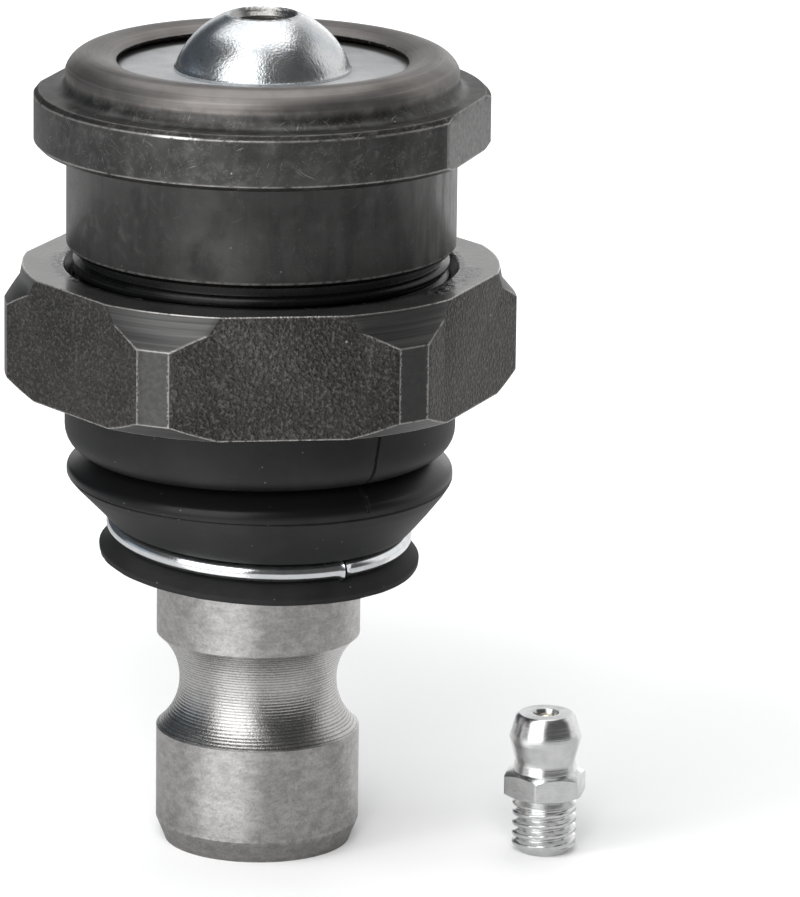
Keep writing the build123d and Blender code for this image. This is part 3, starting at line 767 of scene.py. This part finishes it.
def outline_mesh(name, corners, longest=0.5):
    """A mesh of loose points in the XZ plane, from an outline in millimetres, and their number."""
    points = densified(rounded(corners), longest)
    mesh = bpy.data.meshes.new(name)
    mesh.from_pydata([(r * MM, 0.0, z * MM) for r, z in points], [], [])
    return mesh, len(points)


def outward(piece):
    """Points a closed mesh's faces outwards, with its sharp edges marked."""
    shape = bmesh.new()
    shape.from_mesh(piece.data)
    bmesh.ops.recalc_face_normals(shape, faces=shape.faces)
    shape.to_mesh(piece.data)
    shape.free()
    piece.data.set_sharp_from_angle(angle=math.radians(50))


def boot_shell(name, corners):
    """One half of the boot, turned from its outline, with a ragged trimmed edge on its lip."""
    mesh, count = outline_mesh(name, corners)
    shell = made_by(turned_shell, name, mesh, {
        "Points": count, "Sides": BOOT_SIDES, **LEAN,
        "Rough edge high": (cone_low.z + 0.7) * MM, "Rough edge low": cone_low.z * MM,
        "Rough edge in": (WIRE_RING_R + 0.2) * MM, "Rough edge out": (WIRE_RING_R + 1.2) * MM,
        "Roughness": 0.35 * MM, "Material": FINISHES["boot_rubber"]})
    outward(shell)
    return shell


def make_boot():
    """The boot's upper and lower halves, which meet in the waist between bell and fold."""
    top = bell_high.z
    waist = (WAIST_R - 1.0, WAIST_Z - 0.3, 0.0)
    neck_r = -collar_low.x - 1.2
    bead_r = neck_r - 0.6
    pocket_in, pocket_out = neck_r + 0.5, collar_high.x + 0.05
    upper = boot_shell("boot_upper", [
        (BELL_R, top, 0.15), (BELL_R, BELL_FOOT, 2.4), (WAIST_R, WAIST_Z, 0.0), waist,
        (neck_r, collar_low.z - 0.8, 0.3), (neck_r, collar_low.z + 0.8, 0.0),
        (bead_r, collar_low.z + 1.1, 0.0), (bead_r, top, 0.0), (pocket_in, top, 0.0),
        (pocket_in, collar_low.z, 0.0), (pocket_out, collar_low.z, 0.0), (pocket_out, top, 0.0)])

    lip_r = WIRE_RING_R + 1.5
    channel = WIRE_RING_R - 0.1
    lower = boot_shell("boot_lower", [
        (WAIST_R, WAIST_Z, 0.0), (WAIST_R + 0.4, WAIST_Z - 0.15, 0.0), (FOLD_R + 0.02, WAIST_Z - 1.45, 0.8),
        (FOLD_R, SEAM_Z + 0.06, 0.0), (FOLD_R - 0.20, SEAM_Z, 0.0), (FOLD_R - 0.10, SEAM_Z - 0.14, 0.0),
        (FOLD_R - 0.6, fold_low.z - 0.2, 0.9), (WIRE_RING_R + 0.75, WIRE_Z + 1.0, 0.3),
        (channel, WIRE_Z + 0.9, 0.2), (WIRE_RING_R - 0.9, WIRE_Z, 0.5), (channel, WIRE_Z - 0.9, 0.2),
        (WIRE_RING_R + 0.7, WIRE_Z - 1.35, 0.5), (lip_r, cone_low.z + 0.55, 0.12),
        (lip_r - 0.05, cone_low.z, 0.08), (LIP_BORE_R, cone_low.z, 0.0), (LIP_BORE_R, WIRE_Z + 0.2, 0.0),
        (LIP_BORE_R + 2.3, WIRE_Z + 2.0, 0.5), (FOLD_R - 0.6 - BOOT_WALL, fold_low.z, 0.5),
        (FOLD_R - BOOT_WALL, WAIST_Z - 1.9, 0.4), waist])
    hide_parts("boot_bell")
    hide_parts("boot_fold", "boot_cone")
    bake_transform(upper)
    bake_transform(lower)


def wire_loop(graph):
    """A ring of round wire whose cropped ends flare and almost meet, leant with the boot."""
    source = inputs_of(graph)
    loop = graph.add("GeometryNodeCurveArc", {"mode": "RADIUS"}, {
        "Resolution": WIRE_STEPS, "Radius": source["Ring radius"], "Start Angle": source["Start"],
        "Sweep Angle": source["Sweep"]})
    along = graph.add("GeometryNodeSplineParameter", output="Length")
    from_end = work_out(graph.tree, "MINIMUM", along, source["Ring radius"] * source["Sweep"] - along)
    flare = mapped(graph.tree, from_end, source["Flare length"], 0.0, 1.0, source["Flare"])
    section = graph.add("GeometryNodeCurvePrimitiveCircle", inputs={
        "Resolution": WIRE_SIDES, "Radius": source["Wire radius"]})
    wire = graph.add("GeometryNodeCurveToMesh", inputs={
        "Curve": loop, "Profile Curve": section, "Scale": flare, "Fill Caps": True})
    raised = graph.add("ShaderNodeVectorMath", inputs={
        0: graph.add("GeometryNodeInputPosition"), 1: graph.joined(0.0, 0.0, source["Height"])})
    leant = graph.add("GeometryNodeSetPosition", inputs={
        "Geometry": wire, "Position": leaning(graph, source, raised)})
    finish_tree(graph, leant, source["Material"])


def make_wire_ring():
    """The wire ring round the boot's lower neck, with a small gap between its ends."""
    gap = 0.35
    ring = made_by(wire_loop, "boot_wire_loop", bpy.data.meshes.new("boot_wire_loop"), {
        "Ring radius": WIRE_RING_R * MM, "Wire radius": WIRE_R * MM, "Height": WIRE_Z * MM,
        "Start": math.radians(WIRE_BEARING - 90 + gap), "Sweep": math.radians(360 - 2 * gap),
        "Flare length": 0.5 * MM, "Flare": 1.4, **LEAN, "Material": FINISHES["wire_zinc"]})
    outward(ring)
    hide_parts("boot_wire_ring")
    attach(ring, "boot_lip")


# ---- Pieces made on copies of the plain ones -------------------------------------------------------
def merged_shape(node):
    """A node's mesh with its doubled points merged, ready for changes."""
    shape = bmesh.new()
    shape.from_mesh(nodes[node].data)
    bmesh.ops.remove_doubles(shape, verts=shape.verts, dist=MERGED_WITHIN)
    return shape


def smooth_piece(name, shape, finish):
    """Makes a changed mesh into an object that is smooth all over."""
    for face in shape.faces:
        face.smooth = True
    mesh = bpy.data.meshes.new(name)
    shape.to_mesh(mesh)
    shape.free()
    piece = placed(name, mesh)
    paint(piece, finish)
    return piece


def thread_height(turns):
    """Height of a thread's flank from root 0 to crest 1, over one pitch, with flats at both."""
    share = turns % 1.0
    return min(1.0, max(0.0, 1.6 - abs(share - 0.5) * 4.0))


def threaded(name, node, body, centre, radius, low, high, depth, pitch, outside):
    """A copy of a node with a screw thread on its plain cylinder of one radius, between two heights."""
    shape = merged_shape(node)
    middle = Vector((centre.x, centre.y)) * MM

    def on_wall(vertex):
        return abs((vertex.co.xy - middle).length - radius * MM) < 2 * MERGED_WITHIN

    def angle_of(vertex):
        return math.atan2(vertex.co.y - middle.y, vertex.co.x - middle.x)

    wall = [face for face in shape.faces
            if all(on_wall(v) and (low - 0.02) * MM < v.co.z < (high + 0.02) * MM for v in face.verts)]
    ends = {v for face in wall for v in face.verts}
    bmesh.ops.delete(shape, geom=wall, context="FACES_ONLY")
    rows = {}
    for v in ends:
        rows.setdefault(round(v.co.z / MM, 2), []).append(v)
    bottom, top = (sorted(rows[z], key=angle_of) for z in (min(rows), max(rows)))
    if len(bottom) != len(top):
        raise ValueError(f"{name}: {len(bottom)} and {len(top)} points on the thread's ends")

    start, end = bottom[0].co.z / MM, top[0].co.z / MM
    count = round((end - start) / pitch * THREAD_ROWS)
    rings = [bottom]
    for row in range(1, count):
        z = start + (end - start) * row / count
        fade = min(1.0, (z - start) / (RUN_OUT * pitch), (end - z) / (RUN_OUT * pitch))
        ring = []
        for v in bottom:
            angle = angle_of(v)
            cut = depth * (1 - thread_height((z - start) / pitch - angle / math.tau)) * fade
            r = (radius - cut if outside else radius + cut) * MM
            across, along = r * math.cos(angle), r * math.sin(angle)
            ring.append(shape.verts.new((middle.x + across, middle.y + along, z * MM)))
        rings.append(ring)
    rings.append(top)
    for lower, upper in zip(rings, rings[1:]):
        for index in range(len(lower)):
            after = (index + 1) % len(lower)
            corners = [lower[index], lower[after], upper[after], upper[index]]
            shape.faces.new(corners if outside else corners[::-1])

    piece = smooth_piece(name, shape, NODE_FINISHES[node])
    piece.data.set_sharp_from_angle(angle=math.radians(17))
    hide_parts(node)
    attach(piece, body)


def make_threads():
    """The screw threads on the housing, in the nut, in the grease boss and on the fitting."""
    axis = Vector((0.0, 0.0, 0.0))
    threaded("housing_threaded", "housing", "housing", axis, THREAD_R, THREAD_LOW, THREAD_HIGH,
             THREAD_DEPTH, THREAD_PITCH, True)
    threaded("nut_threaded", "retaining_nut", "nut", axis, NUT_BORE_R, nut_low.z, nut_high.z,
             THREAD_DEPTH, THREAD_PITCH, False)
    threaded("boss_threaded", "grease_boss", "housing", axis, PORT_R, boss_low.z, boss_high.z,
             PORT_DEPTH, PORT_PITCH, False)
    threaded("fitting_threaded", "fitting_body", "fitting", FITTING, FITTING_THREAD_R, 0.0,
             FITTING_THREAD_HIGH, PORT_DEPTH, PORT_PITCH, True)


def make_fitting_spring():
    """The check ball's spring: a smooth copy of the plain one, carried with the fitting."""
    coil = smooth_piece("fitting_spring_coil", merged_shape("fitting_spring"), "spring_steel")
    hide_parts("fitting_spring")
    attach(coil, "fitting")
    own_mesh(coil)


make_boot()
make_wire_ring()
make_threads()
make_fitting_spring()


# ---- Studio: floor, lamps and camera in metres, finishes in millimetres --------------------------
WHITE = (1.0, 1.0, 1.0)
COOL_WHITE = (0.78, 0.89, 1.0)
FLOOR_GREY = 0.93
FLOOR_REACH = 3.0

FLOOR_MIDDLE = (0.0, 0.0, 0.0)
OBJECT_MIDDLE = (0.0, 0.0, 0.04)
# Name, width and height, place, aim, watts, and whether the metal mirrors it.
LAMPS = (
    ("key", (0.70, 0.76), (-0.391, -0.580, 0.34), OBJECT_MIDDLE, 3.3, True),
    ("overhead", (0.75, 0.75), (-0.05, 0.20, 0.75), OBJECT_MIDDLE, 2.3, True),
    ("key_top", (0.40, 0.30), (-0.20, -0.34, 0.62), OBJECT_MIDDLE, 0.6, True),
    ("floor_left", (0.60, 0.60), (-0.559, -0.203, 0.535), FLOOR_MIDDLE, 2.7, False),
    ("floor_front", (0.30, 0.30), (0.0, -0.595, 0.535), FLOOR_MIDDLE, 2.7, False))

CAMERA_PLACE = Vector((0.0, -677.70, 215.27)) * MM
CAMERA_AIM = Vector((13.02, 0.0, 37.64)) * MM
CAMERA_ROLL = math.radians(0.727)
SENSOR_WIDTH = 36.0
LENS = 339.525


def make_floor():
    """A white sweep: it keeps soft shadows near the object and runs out to plain white; to mirrored rays it
    glows with painted light and shade.
    """
    mesh = bpy.data.meshes.new("floor")
    corners = [(x * FLOOR_REACH, y * FLOOR_REACH, 0) for x, y in ((-1, -1), (1, -1), (1, 1), (-1, 1))]
    mesh.from_pydata(corners, [], [(0, 1, 2, 3)])
    floor = placed("floor", mesh)
    paper = Finish("floor_white", Base_Color=(*grey(FLOOR_GREY), 1.0), Roughness=0.6, Specular_IOR_Level=0.2)
    radius, bearing, _ = paper.cylinder()
    seen = paper.add("ShaderNodeLightPath", output="Is Camera Ray")
    mirrored = paper.add("ShaderNodeLightPath", output="Is Glossy Ray")
    # To mirrored rays the floor glows: a painted pool of light at the front left and behind, and painted
    # shade close to the stud.
    away = radius.rises(11.0, 20.0)
    lit = bearing.near(-33.0, 22.0, 5.0) * radius.rises(170.0, 100.0)
    rear = bearing.near(150.0, 35.0, 12.0)
    brightness = seen * 1.35 + mirrored * (0.05 + (0.25 + lit * 0.95 + rear * 0.5) * away)
    glow = paper.add("ShaderNodeEmission", inputs={"Color": (*WHITE, 1.0), "Strength": brightness})
    mix = paper.tree.nodes.new("ShaderNodeMixShader")
    plug(paper.tree, mix.inputs[0], seen * (0.06 + radius.rises(60.0, 130.0) * 0.94) + mirrored * 0.65)
    paper.tree.links.new(paper.shader.outputs[0], mix.inputs[1])
    paper.tree.links.new(glow.socket, mix.inputs[2])
    paper.tree.links.new(mix.outputs[0], paper.tree.nodes["Material Output"].inputs["Surface"])
    floor.data.materials.append(paper.material)


def make_world():
    """A dim studio: bright at the back, right rear and top, softer on the left, white to the camera."""
    world = bpy.data.worlds.new("studio")
    bpy.context.scene.world = world
    world.use_nodes = True
    graph = Graph(world.node_tree)
    x, y, z = graph.split(graph.add("ShaderNodeTexCoord", output="Generated"))
    bearing = graph.bearing(x, y)
    right = bearing.near(132.0, 32.0, 12.0) * z.rises(0.80, 0.55)
    left = bearing.near(-84.0, 24.0, 12.0) * z.rises(0.40, 0.15)
    behind = y.rises(0.91, 0.96)
    top = z.rises(0.86, 0.97)
    level = 0.08 + right * 0.75 + left * 0.36 + behind * 0.9 + top * 0.7
    seen = graph.add("ShaderNodeLightPath", output="Is Camera Ray")
    cool = bearing.near(-120.0, 30.0, 12.0) * (1 - seen)
    background = graph.tree.nodes["Background"]
    plug(graph.tree, background.inputs["Color"], graph.mixed(cool, WHITE, COOL_WHITE))
    plug(graph.tree, background.inputs["Strength"], level * (1 - seen) + seen)


def make_lamp(name, size, place, aim, power, mirrored):
    """A rectangular lamp aimed at a point."""
    data = bpy.data.lights.new(name, "AREA")
    data.shape = "RECTANGLE"
    data.size, data.size_y = size
    data.energy = power
    lamp = placed(name, data)
    lamp.location = place
    lamp.rotation_euler = (Vector(aim) - Vector(place)).to_track_quat("-Z", "Y").to_euler()
    lamp.visible_glossy = mirrored


def make_camera():
    """A long lens, a little above the object, rolled slightly."""
    data = bpy.data.cameras.new("camera")
    data.sensor_fit = "HORIZONTAL"
    data.sensor_width = SENSOR_WIDTH
    data.lens = LENS
    camera = placed("camera", data)
    facing = (CAMERA_AIM - CAMERA_PLACE).to_track_quat("-Z", "Y").to_matrix()
    facing = facing @ Matrix.Rotation(CAMERA_ROLL, 3, "Z")
    camera.matrix_world = Matrix.Translation(CAMERA_PLACE) @ facing.to_4x4()
    bpy.context.scene.camera = camera


make_floor()
make_world()
for lamp in LAMPS:
    make_lamp(*lamp)
make_camera()

bpy.context.scene.view_settings.view_transform = "Standard"
